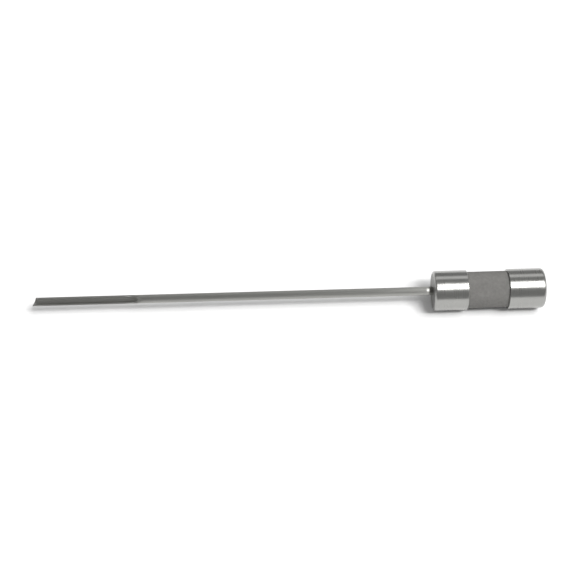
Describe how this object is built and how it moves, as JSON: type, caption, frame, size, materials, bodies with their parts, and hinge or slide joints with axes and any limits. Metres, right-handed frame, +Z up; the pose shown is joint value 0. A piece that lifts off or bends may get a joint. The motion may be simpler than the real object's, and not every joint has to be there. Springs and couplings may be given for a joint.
{
  "type": "probe-type fuel sampler",
  "caption": "Hand tool for drawing a fuel sample: a long steel tube with an open trough tip, on a round banded handle that holds a clear cup under a screw-off end cap.",
  "frame": {"origin": "middle of the tool's footprint on the surface that it lies on, under the polished bands", "axes": "+X along the tool's axis towards the end cap, with the probe tip at -X; +Z up; the trough opens towards -Y and +Z at 45 degrees"},
  "size_m": [0.2824, 0.022, 0.022],
  "materials": {
    "probe_steel": "drawn stainless tube",
    "band_steel": "fine-turned and polished stainless",
    "knurl_steel": "bead-blasted fine diamond knurl",
    "brass": "machined",
    "seal_black": "moulded fuel-resistant rubber",
    "seal_green": "moulded fuel-resistant rubber",
    "screw_steel": "black oxide",
    "clear_cup": "clear moulded plastic"
  },
  "bodies": {
    "handle": {"probe_tube": "probe_steel", "gland_seal": "seal_green", "probe_ferrule": "probe_steel", "gland_nut": "brass", "nose_cap": "band_steel", "lock_screw": "screw_steel", "nose_gasket": "seal_green", "barrel": "knurl_steel", "barrel_seal": "seal_black"},
    "cup": {"sample_cup": "clear_cup"},
    "boot": {"cup_boot": "seal_black"},
    "cap": {"end_cap": "band_steel"}
  },
  "joints": [
    {"name": "cup_withdraw", "type": "slide", "parent": "handle", "child": "cup", "axis": [1, 0, 0], "range_m": [0, 0.036]},
    {"name": "cap_advance", "type": "slide", "parent": "cup", "child": "boot", "axis": [1, 0, 0], "range_m": [0, 0.01051]},
    {"name": "cap_turn", "type": "hinge", "parent": "boot", "child": "cap", "pos_m": [0.1313, 0, 0.011], "axis": [1, 0, 0], "range_deg": [0, 2520]}
  ],
  "couplings": [
    {"joint": "cap_advance", "follows": "cap_turn", "m_per_rad": 0.00023873}
  ]
}
